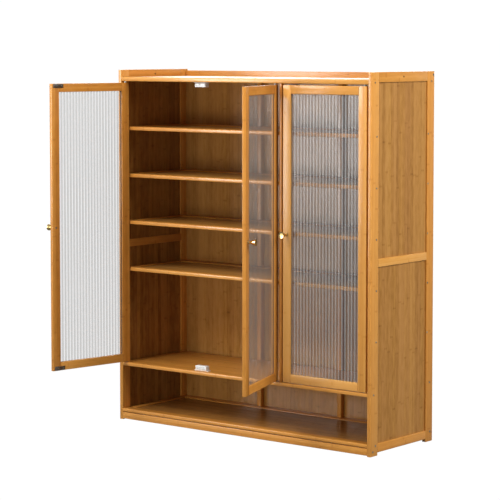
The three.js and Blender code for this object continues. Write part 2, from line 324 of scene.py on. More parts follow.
plasticLook = {
    "colour": (0.84, 0.84, 0.82),
    "dusty": (0.70, 0.70, 0.67),
    "roughness": 0.40,
    "pits": 4200,  # noise cells per metre
    "pitRougher": 0.12,
    "dust": 260,
    "dustFrom": 0.45,
    "dustTo": 0.75,
    "bumpStrength": 0.2,
    "bumpDepth": 0.0001,
}


def plasticMaterial(name, look):
    material, nodes = newMaterial(name)
    place = nodes.add("ShaderNodeTexCoord", output="Object")
    pits = nodes.noise(place, look["pits"], 2)
    dust = nodes.step(nodes.noise(place, look["dust"], 3), look["dustFrom"], look["dustTo"])
    shader = nodes.add("ShaderNodeBsdfPrincipled", inputs={
        "Base Color": nodes.blend(dust, (*look["colour"], 1), (*look["dusty"], 1)),
        "Roughness": look["roughness"] + pits * look["pitRougher"],
        "Normal": nodes.bump(pits, look["bumpStrength"], look["bumpDepth"]),
    })
    surface(nodes, shader)
    return material


whitePlastic = plasticMaterial("whitePlastic", plasticLook)

# On acrylic, "sheet" holds ribs across the sheet, metres up it and metres from its flat back.
acrylicLook = {
    "haze": (0.11, 0.10, 0.095, 1),
    "crestHazeHighlight": (0.36, 0.385, 0.375, 1),  # the crest of each rib: hazier, and painted lighter as a highlight
    "hazeRoughness": 0.6,
    "clear": (0.985, 0.985, 0.985, 1),
    "cover": 0.09,  # how much each face of the sheet hides
    "ribCover": 0.30,  # and how much more a crest hides
    "crest": (0.13, 0.364),  # where a crest starts to fade and where it ends, in ribs from its line
    "ribbedFace": (0.0008, 0.0012),  # metres from the flat back where the ribs begin
    "roughness": 0.42,
    "mirror": 0.044,  # gloss seen square on
    "mirrorEdge": 0.45,  # and what grazing views add
    "mirrorPower": 5,
}


def acrylicMaterial(name, look):
    material, nodes = newMaterial(name)
    ribs = nodes.add("ShaderNodeSeparateXYZ", inputs={0: attribute(nodes, "sheet")})
    ribbedFace = nodes.step(ribs.out("Z"), *look["ribbedFace"])
    fromCrest = (ribs.maths("FRACT") - 0.5).maths("ABSOLUTE")
    crest = nodes.step(fromCrest, *look["crest"], 1, 0) * ribbedFace
    # crests get a lighter haze colour, a painted highlight along each rib
    haze = nodes.add("ShaderNodeBsdfPrincipled", inputs={
        "Base Color": nodes.blend(crest, look["haze"], look["crestHazeHighlight"]),
        "Roughness": look["hazeRoughness"],
        "Specular IOR Level": 0.0,
    })
    clear = nodes.add("ShaderNodeBsdfTransparent", inputs={0: look["clear"]})
    cover = look["cover"] + crest * look["ribCover"]
    body = nodes.add("ShaderNodeMixShader", inputs={0: cover, 1: clear, 2: haze})
    gloss = nodes.add("ShaderNodeBsdfPrincipled", inputs={
        "Base Color": (1, 1, 1, 1),
        "Metallic": 1.0,
        "Roughness": look["roughness"],
    })
    grazing = nodes.add("ShaderNodeLayerWeight", inputs={"Blend": 0.5}, output="Facing")
    mirror = look["mirror"] + grazing.maths("POWER", look["mirrorPower"]) * look["mirrorEdge"]
    surface(nodes, nodes.add("ShaderNodeMixShader", inputs={0: mirror, 1: body, 2: gloss}))
    return material


acrylic = acrylicMaterial("reededAcrylic", acrylicLook)
print("materials made")


# helpers that every piece uses
def meshFrom(name, bm, matrix=None, sharpAngle=34):
    if matrix is not None:
        bm.transform(matrix)
    limit = math.radians(sharpAngle)
    for face in bm.faces:
        face.smooth = True
    for edge in bm.edges:
        edge.smooth = len(edge.link_faces) == 2 and edge.calc_face_angle(0) < limit
    mesh = bpy.data.meshes.new(name)
    bm.to_mesh(mesh)
    bm.free()
    return mesh


def addPiece(name, mesh, body, material, stands=()):
    mesh.materials.clear()
    mesh.materials.append(material)
    piece = bpy.data.objects.new(name, mesh)
    bpy.context.scene.collection.objects.link(piece)
    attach(piece, body)
    if stands:
        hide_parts(*stands)


def joinMeshes(name, meshes):
    bm = bmesh.new()
    for mesh in meshes:
        bm.from_mesh(mesh)
        bpy.data.meshes.remove(mesh)
    mesh = bpy.data.meshes.new(name)
    bm.to_mesh(mesh)
    bm.free()
    return mesh


def setVectors(mesh, name, values):
    layer = mesh.attributes.new(name, "FLOAT_VECTOR", "POINT")
    layer.data.foreach_set("vector", [x for value in values for x in value])


def setFloats(mesh, name, values, domain="POINT"):
    layer = mesh.attributes.new(name, "FLOAT", domain)
    layer.data.foreach_set("value", list(values))


def roundedOutline(a, b, radius, notches=(), steps=3):
    # a rectangle with round corners; a notch is (side, middle, width, depth)
    def corner(ca, cb, quarter):
        turns = [(quarter + i / steps) * math.pi / 2 for i in range(steps + 1)]
        return [(ca + radius * math.cos(t), cb + radius * math.sin(t)) for t in turns]

    def notch(side, place):
        for where, middle, width, depth in notches:
            if where == side:
                return place(middle - width / 2, middle + width / 2, depth)
        return []

    (a0, a1), (b0, b1) = a, b
    return [  # n and f are a notch's near and far side
        *corner(a0 + radius, b0 + radius, 2),
        *notch("b-", lambda n, f, deep: [(n, b0), (n, b0 + deep), (f, b0 + deep), (f, b0)]),
        *corner(a1 - radius, b0 + radius, 3),
        *notch("a+", lambda n, f, deep: [(a1, n), (a1 - deep, n), (a1 - deep, f), (a1, f)]),
        *corner(a1 - radius, b1 - radius, 0),
        *notch("b+", lambda n, f, deep: [(f, b1), (f, b1 - deep), (n, b1 - deep), (n, b1)]),
        *corner(a0 + radius, b1 - radius, 1),
        *notch("a-", lambda n, f, deep: [(a0, f), (a0 + deep, f), (a0 + deep, n), (a0, n)]),
    ]


axisOrder = {"x": (1, 2, 0), "y": (2, 0, 1), "z": (0, 1, 2)}


def extrudeOutline(bm, outline, axis, start, end):
    # the outline's two directions and the axis are right-handed, so the faces point outwards
    slots = axisOrder[axis]

    def vertex(a, b, c):
        place = [0, 0, 0]
        for slot, value in zip(slots, (a, b, c)):
            place[slot] = value
        return bm.verts.new(place)

    low = [vertex(a, b, start) for a, b in outline]
    high = [vertex(a, b, end) for a, b in outline]
    bm.faces.new(list(reversed(low)))
    bm.faces.new(high)
    for i in range(len(outline)):
        j = (i + 1) % len(outline)
        bm.faces.new((low[i], low[j], high[j], high[i]))


def softenEnds(bm, axis, size=0.45 * mm):
    # a small bevel round both ends of a bar; axis is a unit vector along it
    endFacing, sideFacing = 0.99, 0.3
    bm.normal_update()
    edges = []
    for edge in bm.edges:
        if len(edge.link_faces) == 2:
            turned = [abs(face.normal.dot(axis)) for face in edge.link_faces]
            if max(turned) > endFacing and min(turned) < sideFacing:
                edges.append(edge)
    bmesh.ops.bevel(
        bm, geom=edges, offset=size, segments=2, profile=0.5, affect="EDGES", clamp_overlap=True
    )


def ringOf(bm, radius, height, sides):
    turns = [2 * math.pi * i / sides for i in range(sides)]
    return [bm.verts.new((radius * math.cos(t), radius * math.sin(t), height)) for t in turns]


def turnedOutline(bm, profile, sides):
    # a turned shape about Z from (radius, height) pairs, closed at both ends
    rings = []
    for radius, height in profile:
        onAxis = radius < 1e-7
        rings.append([bm.verts.new((0, 0, height))] if onAxis else ringOf(bm, radius, height, sides))
    for low, high in zip(rings, rings[1:]):
        for i in range(sides):
            j = (i + 1) % sides
            corners = [low[i % len(low)], low[j % len(low)], high[j % len(high)], high[i % len(high)]]
            bm.faces.new(list(dict.fromkeys(corners)))
    bmesh.ops.recalc_face_normals(bm, faces=bm.faces)


def runTree(name, tree, inputs, mesh=None, sharpAngle=30):
    # runs a geometry tree on a mesh and returns the result as a plain mesh
    carrier = bpy.data.objects.new(name, mesh or bpy.data.meshes.new(name))
    bpy.context.scene.collection.objects.link(carrier)
    modifier = carrier.modifiers.new(name, "NODES")
    modifier.node_group = tree
    sockets = [item for item in tree.interface.items_tree if item.in_out == "INPUT"]
    identifiers = {socket.name: socket.identifier for socket in sockets}
    for label, value in inputs.items():
        modifier[identifiers[label]] = value
    bpy.context.view_layer.update()
    ready = carrier.evaluated_get(bpy.context.evaluated_depsgraph_get())
    made = bpy.data.meshes.new_from_object(ready)
    carrier.modifiers.clear()
    bpy.data.objects.remove(carrier)
    bm = bmesh.new()
    bm.from_mesh(made)
    bpy.data.meshes.remove(made)
    return meshFrom(name, bm, sharpAngle=sharpAngle)


def newTree(name, sockets):
    tree = bpy.data.node_groups.new(name, "GeometryNodeTree")
    for label, kind in sockets:
        tree.interface.new_socket(label, in_out="INPUT", socket_type=kind)
    tree.interface.new_socket("Geometry", in_out="OUTPUT", socket_type="NodeSocketGeometry")
    nodes = Nodes(tree)
    return tree, nodes, nodes.add("NodeGroupInput")


doorPlan = {
    "wide": 315 * mm,
    "thick": 12 * mm,
    "low": 195 * mm,
    "high": 1118 * mm,
    "stile": 30 * mm,
    "rail": 27 * mm,
    "pinInset": 9 * mm,  # from the hinged edge to the pins
}
doorMiddleZ = (doorPlan["low"] + doorPlan["high"]) / 2
leaves = {}  # where each door stands, and the side its free edge is on
for joint in frame["joints"]:
    pinX, pinY = joint["pos_m"][:2]
    turn = -joint["range_deg"][0] * joint["axis"][2]  # the range starts where the door is shut
    matrix = Matrix.Translation((pinX, pinY, 0)) @ Matrix.Rotation(math.radians(turn), 4, "Z")
    leaves[joint["child"]] = {"matrix": matrix, "hand": 1 if joint["child"] == "left_door" else -1}


def leafX(door, u):  # u runs from the hinged edge to the free edge
    return leaves[door]["hand"] * (u - doorPlan["pinInset"])


woodPlan = {
    "tintSpread": 0.13,
    "alignedNormal": 0.985,  # a face turned further than this is a rounded edge
    "boardStrip": 12.7 * mm,
    "paintedLightShade": {  # per body or piece, set to how light falls on it: painted light where positive, painted shade where negative
        "left_door": -0.12,
        "middle_door": -0.10,
        "right_door": 0.14,
        "left_door_top_rail": -0.26,
        "left_door_bottom_rail": 0.12,
        "middle_door_top_rail": -0.26,
        "right_door_outer_stile": 0.42,
        "right_door_bottom_rail": 0.30,
        "right_middle_rail": 0.24,
        "centre_post": -0.24,
        "left_upper_panel": -0.22,
        "left_lower_panel": -0.22,
        "base_panel": -0.36,
        "top_board": 0.06,
        "gallery_rail": 0.05,
    },
}
pieceSeeds = random.Random(41)


def grainPlaces(mesh, matrix, order, strip, origin, paintedLightShade=0):
    # order names the local axes that run along, across and through the piece
    back = matrix.inverted()
    slots = ["xyz".index(letter) for letter in order]
    offset = (pieceSeeds.uniform(0, 9), float(pieceSeeds.randrange(500)), pieceSeeds.uniform(0, 2))
    values = []
    for vertex in mesh.vertices:
        local = back @ vertex.co
        along, across, through = (local[slot] - start for slot, start in zip(slots, origin))
        values.append((along + offset[0], across / strip + offset[1], through + offset[2]))
    setVectors(mesh, "grain", values)
    # a random tone plus painted light (positive) or painted shade (negative) for the piece
    tint = (pieceSeeds.random() - 0.5) * woodPlan["tintSpread"] + paintedLightShade
    setFloats(mesh, "tint", [tint] * len(mesh.vertices))
    turned = back.to_3x3()

    def rounded(face):
        return float(max(abs(x) for x in turned @ face.normal) < woodPlan["alignedNormal"])

    setFloats(mesh, "edge", [rounded(face) for face in mesh.polygons], "FACE")


def copyOfNode(node):
    bm = bmesh.new()
    bm.from_mesh(frame["nodes"][node].data)
    bmesh.ops.remove_doubles(bm, verts=bm.verts, dist=1e-6)
    bmesh.ops.dissolve_limit(bm, angle_limit=math.radians(1), verts=bm.verts, edges=bm.edges)
    return bm


def addBar(node, order):
    # a post, rail, stile or board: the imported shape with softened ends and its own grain
    body = bodyOf[node]
    matrix = leaves[body]["matrix"] if body in leaves else Matrix.Identity(4)
    bm = copyOfNode(node)
    axis = Vector([float(letter == order[0]) for letter in "xyz"])
    softenEnds(bm, matrix.to_3x3() @ axis)
    mesh = meshFrom(node + "_wood", bm)
    paintedLightShade = woodPlan["paintedLightShade"].get(node, woodPlan["paintedLightShade"].get(body, 0))
    grainPlaces(mesh, matrix, order, woodPlan["boardStrip"], (0, 0, 0), paintedLightShade)
    addPiece(node + "_wood", mesh, body, bambooFrame, [node])


for side in ("left", "right"):
    for post in ("front_post", "back_post"):
        addBar(f"{side}_{post}", "zyx")
    for rail in ("top_rail", "middle_rail", "bottom_rail"):
        addBar(f"{side}_{rail}", "yzx")
for board in ("top_board", "floor_board"):
    addBar(board, "xyz")
for rail in ("gallery_rail", "front_apron", "rear_apron"):
    addBar(rail, "xzy")
for upright in ("centre_post", "back_batten_1", "back_batten_2"):
    addBar(upright, "zxy")
for door in leaves:
    for stile in ("hinge_stile", "outer_stile"):
        addBar(f"{door}_{stile}", "zxy")
    for rail in ("top_rail", "bottom_rail"):
        addBar(f"{door}_{rail}", "xzy")
print("posts, rails and boards made")

shelfPlan = {  # four grooved rails to each frame
    "frontRail": 38 * mm,
    "endRail": 24 * mm,
    "round": 2.5 * mm,
    "innerRound": 0.6 * mm,
    "grooveWide": 4.4 * mm,
    "grooveDeep": 5 * mm,
    "grooveMiddle": 5 * mm,  # below the rail's top
}


def shelfRail(axis, x, y, z, notchSide, radius):
    a, b, along = ((x, y, z)[slot] for slot in axisOrder[axis])
    middle = z[1] - shelfPlan["grooveMiddle"]
    notch = (notchSide, middle, shelfPlan["grooveWide"], shelfPlan["grooveDeep"])
    bm = bmesh.new()
    extrudeOutline(bm, roundedOutline(a, b, radius, [notch]), axis, *along)
    softenEnds(bm, Vector([float(letter == axis) for letter in "xyz"]))
    mesh = meshFrom("rail", bm)
    order = "xyz" if axis == "x" else "yxz"
    grainPlaces(mesh, Matrix.Identity(4), order, woodPlan["boardStrip"], (0, 0, 0))
    return mesh


def addShelfFrame(node):
    low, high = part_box(node)
    plan = shelfPlan
    x, y, z = ((low[i], high[i]) for i in range(3))
    frontY, backY = y[0] + plan["frontRail"], y[1] - plan["frontRail"]
    leftX, rightX = x[0] + plan["endRail"], x[1] - plan["endRail"]
    rails = [
        shelfRail("x", x, (y[0], frontY), z, "a+", plan["round"]),
        shelfRail("x", x, (backY, y[1]), z, "a-", plan["round"]),
        shelfRail("y", (x[0], leftX), (frontY, backY), z, "b+", plan["innerRound"]),
        shelfRail("y", (rightX, x[1]), (frontY, backY), z, "b-", plan["innerRound"]),
    ]
    mesh = joinMeshes(node + "_wood", rails)
    addPiece(node + "_wood", mesh, "carcass", bambooFrame, [node])


shelfNames = ["base", "shelf_1", "shelf_2", "shelf_3", "shelf_4"]
for shelf in shelfNames:
    addShelfFrame(shelf + "_frame")
print("shelf frames made")

panelPlan = {"strip": 15 * mm, "chamfer": 0.12 * mm}  # edge-glued strips, laid side by side


def makeStripTree():
    tree, nodes, given = newTree("layStrips", [
        ("Strip", "NodeSocketObject"),
        ("Count", "NodeSocketInt"),
        ("Pitch", "NodeSocketVector"),
        ("Material", "NodeSocketMaterial"),
    ])
    spacing = {"Count": given.out("Count"), "Offset": given.out("Pitch")}
    line = nodes.add("GeometryNodeMeshLine", inputs=spacing)
    strip = nodes.objectShape(given.out("Strip"))
    laid = nodes.add("GeometryNodeInstanceOnPoints", inputs={"Points": line, "Instance": strip})
    nodes.finishTree(laid, given.out("Material"))
    return tree


stripTree = makeStripTree()


def addPanel(node, along, across):
    # along and across are axis letters; the third axis is the panel's thickness
    low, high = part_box(node)
    spans = {letter: (low[i], high[i]) for i, letter in enumerate("xyz")}
    through = next(letter for letter in "xyz" if letter not in (along, across))
    total = spans[across][1] - spans[across][0]
    count = round(total / panelPlan["strip"])
    pitch = total / count
    first = dict(spans)
    first[across] = (spans[across][0], spans[across][0] + pitch)
    a, b, run = (first["xyz"[slot]] for slot in axisOrder[along])
    bm = bmesh.new()
    extrudeOutline(bm, roundedOutline(a, b, panelPlan["chamfer"], steps=1), along, *run)
    strip = bpy.data.objects.new("strip", meshFrom("strip", bm, sharpAngle=20))
    bpy.context.scene.collection.objects.link(strip)
    offset = Vector([pitch * (letter == across) for letter in "xyz"])
    inputs = {"Strip": strip, "Count": count, "Pitch": offset, "Material": bambooPanel}
    mesh = runTree(node + "_strips", stripTree, inputs)
    bpy.data.objects.remove(strip)
    origin = [spans[letter][0] for letter in (along, across, through)]
    paintedLightShade = woodPlan["paintedLightShade"].get(node, 0)
    grainPlaces(mesh, Matrix.Identity(4), along + across + through, pitch, origin, paintedLightShade)
    addPiece(node + "_strips", mesh, "carcass", bambooPanel, [node])


for side in ("left", "right"):
    for panel in ("upper_panel", "lower_panel"):
        addPanel(f"{side}_{panel}", "z", "y")
addPanel("back_panel", "z", "x")
for shelf in shelfNames:
    addPanel(shelf + "_panel", "x", "y")
print("panels made")

sheetPlan = {
    "ribs": 22,
    "pointsPerRib": 10,
    "ribHeight": 1.3 * mm,
    "ribFullness": 0.75,  # 1 is a parabola, less is fuller
    "thick": 3 * mm,
    "inGroove": 4.5 * mm,
}


def makeReededTree():
    tree, nodes, given = newTree("reededSheet", [
        ("Width", "NodeSocketFloat"),
        ("Height", "NodeSocketFloat"),
        ("Ribs", "NodeSocketInt"),
        ("Points per Rib", "NodeSocketInt"),
        ("Rib Height", "NodeSocketFloat"),
        ("Rib Fullness", "NodeSocketFloat"),
        ("Thickness", "NodeSocketFloat"),
        ("Material", "NodeSocketMaterial"),
    ])
    width, ribHeight, ribs = given.out("Width"), given.out("Rib Height"), given.out("Ribs")
    grid = nodes.add("GeometryNodeMeshGrid", inputs={
        "Size X": width,
        "Size Y": given.out("Height"),
        "Vertices X": ribs * given.out("Points per Rib") + 1,
        "Vertices Y": 2,
    })
    front = nodes.add("GeometryNodeExtrudeMesh", inputs={
        "Mesh": grid,
        "Offset": nodes.vector(0, 0, 1),
        "Offset Scale": given.out("Thickness") - ribHeight,
        "Individual": False,
    })
    x = nodes.add("ShaderNodeSeparateXYZ", inputs={0: nodes.add("GeometryNodeInputPosition")})
    justInside = 0.0001  # keeps a point between two ribs in the rib to its right
    phase = ((x / width + 0.5) * ribs + justInside).maths("FRACT") * 2 - 1
    lift = (1 - phase * phase).maths("MAXIMUM", 0).maths("POWER", given.out("Rib Fullness"))
    ribbed = nodes.add("GeometryNodeSetPosition", inputs={
        "Geometry": front,
        "Selection": front.out("Top"),
        "Offset": nodes.vector(0, 0, lift * ribHeight),
    })
    back = nodes.add("GeometryNodeFlipFaces", inputs={0: grid})
    whole = nodes.add("GeometryNodeJoinGeometry")
    for part in (back, ribbed):
        tree.links.new(part.socket, whole.socket.node.inputs[0])
    closing = {"Geometry": whole, "Distance": 1e-6}
    closed = nodes.add("GeometryNodeMergeByDistance", inputs=closing)
    nodes.finishTree(closed, given.out("Material"))
    return tree


reededTree = makeReededTree()


def addSheet(door):
    plan = sheetPlan
    width = doorPlan["wide"] - 2 * (doorPlan["stile"] - plan["inGroove"])
    height = doorPlan["high"] - doorPlan["low"] - 2 * (doorPlan["rail"] - plan["inGroove"])
    inputs = {
        "Width": width,
        "Height": height,
        "Ribs": plan["ribs"],
        "Points per Rib": plan["pointsPerRib"],
        "Rib Height": plan["ribHeight"],
        "Rib Fullness": plan["ribFullness"],
        "Thickness": plan["thick"],
        "Material": acrylic,
    }
    mesh = runTree(door + "_sheet", reededTree, inputs, sharpAngle=50)
    places = [((v.co.x / width + 0.5) * plan["ribs"], v.co.y, v.co.z) for v in mesh.vertices]
    setVectors(mesh, "sheet", places)
    middle = Vector((leafX(door, doorPlan["wide"] / 2), plan["thick"] / 2, doorMiddleZ))
    upright = Matrix.Rotation(math.pi / 2, 4, "X")  # the ribs face the outside of the door
    mesh.transform(leaves[door]["matrix"] @ Matrix.Translation(middle) @ upright)
    addPiece(door + "_reeded_sheet", mesh, door, acrylic, [door + "_acrylic"])


for door in leaves:
    addSheet(door)
print("acrylic sheets made")

knobPlan = {
    "profile": [  # radius and distance from the door's face, in millimetres
        (0, 0.3), (5.6, 0.3), (5.8, 0.5), (5.8, 1.3), (5.4, 1.7), (4.3, 2.0),  # foot
        (3.9, 2.6), (3.8, 4.5), (3.85, 7.0), (4.2, 9.0), (4.9, 12.0), (5.9, 15.0),  # neck
        (7.1, 18.0), (8.3, 20.8), (9.4, 23.4), (10.1, 25.2), (10.35, 26.1), (10.5, 26.7),  # flare
        (10.35, 27.1), (9.9, 27.3), (9.3, 27.1), (8.6, 26.75), (5.0, 26.6), (0, 26.55),  # face
    ],
    "sides": 64,
}
pinPlan = {  # in millimetres
    "radius": 2.5,
    "chamfer": 0.4,
    "collar": 5.0,
    "collarChamfer": 0.3,
    "air": 0.3,  # between the collar and the wood on either side
    "inDoor": 20,
    "inBoard": 4.5,
    "sides": 40,
}


def addTurned(name, profile, sides, matrix, body, material, stands=()):
    bm = bmesh.new()
    turnedOutline(bm, [(r * mm, h * mm) for r, h in profile], sides)
    addPiece(name, meshFrom(name, bm, matrix), body, material, stands)


def addKnob(door):
    stileMiddle = leafX(door, doorPlan["wide"] - doorPlan["stile"] / 2)
    at = Vector((stileMiddle, -doorPlan["thick"] / 2, doorMiddleZ))
    outwards = Matrix.Rotation(math.pi / 2, 4, "X")
    matrix = leaves[door]["matrix"] @ Matrix.Translation(at) @ outwards
    profile, sides = knobPlan["profile"], knobPlan["sides"]
    addTurned(door + "_pull", profile, sides, matrix, door, brass, [door + "_knob"])


def addPin(door, label, doorEnd, boardFace):
    plan = pinPlan
    pin, pinEnd = plan["radius"], plan["radius"] - plan["chamfer"]
    collar, collarEnd = plan["collar"], plan["collar"] - plan["collarChamfer"]
    foot, head = -plan["inDoor"], abs(boardFace - doorEnd) / mm + plan["inBoard"]
    low, high = plan["air"], abs(boardFace - doorEnd) / mm - plan["air"]  # the collar's two faces
    profile = [
        (0, foot), (pinEnd, foot), (pin, foot + plan["chamfer"]), (pin, low),
        (collarEnd, low), (collar, low + plan["collarChamfer"]),
        (collar, high - plan["collarChamfer"]), (collarEnd, high),
        (pin, high), (pin, head - plan["chamfer"]), (pinEnd, head), (0, head),
    ]
    flip = Matrix.Rotation(0 if boardFace > doorEnd else math.pi, 4, "X")
    matrix = leaves[door]["matrix"] @ Matrix.Translation((0, 0, doorEnd)) @ flip
    name, node = f"{door}_{label}_pivot", f"{door}_{label}_pin"
    addTurned(name, profile, plan["sides"], matrix, door, steel, [node])


topFace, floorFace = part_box("top_board")[0].z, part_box("floor_board")[1].z
for door in leaves:
    addKnob(door)
    addPin(door, "top", doorPlan["high"], topFace)
    addPin(door, "bottom", doorPlan["low"], floorFace)

catchPlan = {
    "flange": 2 * mm,
    "flangeOver": 6 * mm,
    "flangeBack": 2 * mm,
    "flangeRound": 0.6 * mm,
    "round": 1.2 * mm,
    "halfInset": 0.25 * mm,  # half the groove between two magnets' cases
    "plateThick": 1.2 * mm,
    "plateProud": 0.7 * mm,
    "plateLong": 6 * mm,
    "plateRound": 0.25 * mm,
    "plateHeights": (0.34, 0.66),  # in parts of the case's height
    "magnetWide": 15 * mm,
}


def addBlock(bm, low, high, bevel, segments=2):
    made = bmesh.ops.create_cube(bm, size=1)["verts"]
    middle, size = (low + high) / 2, high - low
    place = Matrix.Translation(middle) @ Matrix.Diagonal((*size, 1))
    bmesh.ops.transform(bm, matrix=place, verts=made)
    edges = list({edge for vertex in made for edge in vertex.link_edges})
    bmesh.ops.bevel(bm, geom=edges, offset=bevel, segments=segments, profile=0.5, affect="EDGES")


def addCatch(node, halves):
    plan = catchPlan
    low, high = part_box(node)
    hangs = high.z > topFace - 1 * mm  # else it stands on the floor board
    left, right = low.x + plan["flangeOver"], high.x - plan["flangeOver"]
    bottom, top = low.z, high.z
    if hangs:
        top = flangeLow = high.z - plan["flange"]
        flangeHigh = high.z
    else:
        bottom = flangeHigh = low.z + plan["flange"]
        flangeLow = low.z
    wide = (right - left) / halves

    bm = bmesh.new()
    flangeFront = Vector((low.x, low.y + plan["flangeBack"], flangeLow))
    addBlock(bm, flangeFront, Vector((high.x, high.y, flangeHigh)), plan["flangeRound"])
    for half in range(halves):
        start = left + half * wide
        caseLow = Vector((start + plan["halfInset"], low.y, bottom))
        caseHigh = Vector((start + wide - plan["halfInset"], high.y, top))
        addBlock(bm, caseLow, caseHigh, plan["round"], 3)
    name = node + "_body"
    addPiece(name, meshFrom(name, bm), "carcass", whitePlastic, [node])

    bm = bmesh.new()
    reach = Vector((plan["magnetWide"] / 2, 0, plan["plateThick"] / 2))
    for half in range(halves):
        for height in plan["plateHeights"]:
            middle, at = left + (half + 0.5) * wide, bottom + (top - bottom) * height
            front = Vector((middle, low.y - plan["plateProud"], at))
            back = front + Vector((0, plan["plateLong"], 0))
            addBlock(bm, front - reach, back + reach, plan["plateRound"], 1)
    addPiece(node + "_poles", meshFrom(node + "_poles", bm), "carcass", steel)


addCatch("double_catch_top", 2)
addCatch("double_catch_bottom", 2)
addCatch("right_catch", 1)

strikePlan = {
    "long": 40 * mm,
    "tall": 13 * mm,
    "thick": 0.9 * mm,
    "sunk": 0.2 * mm,
    "round": 1.6 * mm,
    "bevel": 0.2 * mm,
    "fromEdge": 6 * mm,
    "fromEnd": 1 * mm,
    "screws": (14 * mm, 34 * mm),  # from the strike's free-edge end, clear of the catch's poles
    "rightScrews": (6 * mm, 34 * mm),
}
doorScrews = {door: [] for door in leaves}
inwards = Vector((0, 1, 0))  # the way a door's back faces


def addStrike(door, label, atTop):
    plan = strikePlan
    freeEnd = doorPlan["wide"] - plan["fromEdge"]
    x = sorted((leafX(door, freeEnd - plan["long"]), leafX(door, freeEnd)))
    if atTop:
        high = doorPlan["high"] - plan["fromEnd"]
        z = (high - plan["tall"], high)
    else:
        low = doorPlan["low"] + plan["fromEnd"]
        z = (low, low + plan["tall"])
    back = doorPlan["thick"] / 2
    bm = bmesh.new()
    outline = roundedOutline(z, x, plan["round"], steps=5)
    extrudeOutline(bm, outline, "y", back - plan["sunk"], back + plan["thick"])
    softenEnds(bm, inwards, plan["bevel"])
    name = f"{door}_strike_{label}"
    addPiece(name, meshFrom(name, bm, leaves[door]["matrix"]), door, steel)
    for inset in plan["rightScrews" if door == "right_door" else "screws"]:
        at = Vector((leafX(door, freeEnd - inset), back + plan["thick"], (z[0] + z[1]) / 2))
        doorScrews[door].append((at, inwards))


for door in leaves:
    addStrike(door, "top", True)
    if door != "right_door":
        addStrike(door, "bottom", False)
    knobX = leafX(door, doorPlan["wide"] - doorPlan["stile"] / 2)
    doorScrews[door].append((Vector((knobX, doorPlan["thick"] / 2, doorMiddleZ)), inwards))
print("knobs, pins and catches made")

screwPlan = {
    "radius": 3.1 * mm,
    "proud": 0.55 * mm,
    "sunk": 0.15 * mm,
    "dome": [(0.80, 1.0), (0.93, 0.82), (1.0, 0.45)],  # parts of the radius and of "proud"
    "recess": 0.45 * mm,
    "slotLong": 1.9 * mm,
    "slotWide": 0.42 * mm,
    "slotTaper": 0.7,
    "sides": 24,
    "holeShadeSize": 0.85,
    "turn": 1.57,  # screws are turned by anything up to this
    "seeds": {"carcass": 3, "holeShades": 5, "doors": 11},
}


def makeScrewHead(plan):
    # a low domed head with a cross recess; its top is at z = proud
    bm = bmesh.new()
    long, wide, top, sides = plan["slotLong"], plan["slotWide"], plan["proud"], plan["sides"]
    taper, bottom = plan["slotTaper"], plan["proud"] - plan["recess"]
    cross = [(long, -wide), (long, wide), (wide, wide), (wide, long), (-wide, long), (-wide, wide)]
    cross += [(-x, -y) for x, y in cross]
    rim = [bm.verts.new((x, y, top)) for x, y in cross]
    floor = [bm.verts.new((x * taper, y * taper, bottom)) for x, y in cross]
    bm.faces.new(floor)
    for i in range(len(cross)):
        j = (i + 1) % len(cross)
        bm.faces.new((rim[i], rim[j], floor[j], floor[i]))
    rings = [ringOf(bm, plan["radius"] * out, top * up, sides) for out, up in plan["dome"]]
    rings.append(ringOf(bm, plan["radius"], -plan["sunk"], sides))
    for inner, outer in zip(rings, rings[1:]):
        for i in range(sides):
            j = (i + 1) % sides
            bm.faces.new((inner[i], outer[i], outer[j], inner[j]))
    bm.faces.new(list(reversed(rings[-1])))
    pairs = [(ring[i - 1], ring[i]) for ring in (rim, rings[0]) for i in range(len(ring))]
    bmesh.ops.bridge_loops(bm, edges=[bm.edges.get(pair) for pair in pairs])
    bmesh.ops.recalc_face_normals(bm, faces=bm.faces)
    head = bpy.data.objects.new("screwHead", meshFrom("screwHead", bm, sharpAngle=30))
    bpy.context.scene.collection.objects.link(head)
    return head


def makeScrewTree():
    tree, nodes, given = newTree("setScrews", [
        ("Points", "NodeSocketGeometry"),
        ("Head", "NodeSocketObject"),
        ("Size", "NodeSocketFloat"),
        ("Turn", "NodeSocketFloat"),
        ("Seed", "NodeSocketInt"),
        ("Material", "NodeSocketMaterial"),
    ])
    named = {"data_type": "FLOAT_VECTOR"}
    facing = nodes.add("GeometryNodeInputNamedAttribute", named, {"Name": "facing"})
    upright = nodes.add("FunctionNodeAlignRotationToVector", {"axis": "Z"}, {"Vector": facing})
    # 2 and 3 are the random number's least and greatest value, and 1 its output
    chance = {2: 0.0, 3: given.out("Turn"), "Seed": given.out("Seed")}
    turn = nodes.add("FunctionNodeRandomValue", {"data_type": "FLOAT"}, chance, 1)
    spin = {"Axis": (0, 0, 1), "Angle": turn}
    spun = nodes.add("FunctionNodeAxisAngleToRotation", inputs=spin)
    both = {"Rotation": upright, "Rotate By": spun}
    laid = nodes.add("GeometryNodeInstanceOnPoints", inputs={
        "Points": given,
        "Instance": nodes.objectShape(given.out("Head")),
        "Rotation": nodes.add("FunctionNodeRotateRotation", {"rotation_space": "LOCAL"}, both),
        "Scale": nodes.vector(given.out("Size"), given.out("Size"), given.out("Size")),
    })
    nodes.finishTree(laid, given.out("Material"))
    return tree


screwHead, screwTree = makeScrewHead(screwPlan), makeScrewTree()


def addScrews(name, places, body, matrix, material, seed, size=1.0):
    points = bpy.data.meshes.new(name + "_points")
    points.from_pydata([at for at, facing in places], [], [])
    setVectors(points, "facing", [facing for at, facing in places])
    inputs = {"Head": screwHead, "Size": size, "Turn": screwPlan["turn"], "Seed": seed}
    mesh = runTree(name, screwTree, {**inputs, "Material": material}, points)
    mesh.transform(matrix)
    addPiece(name, mesh, body, material)


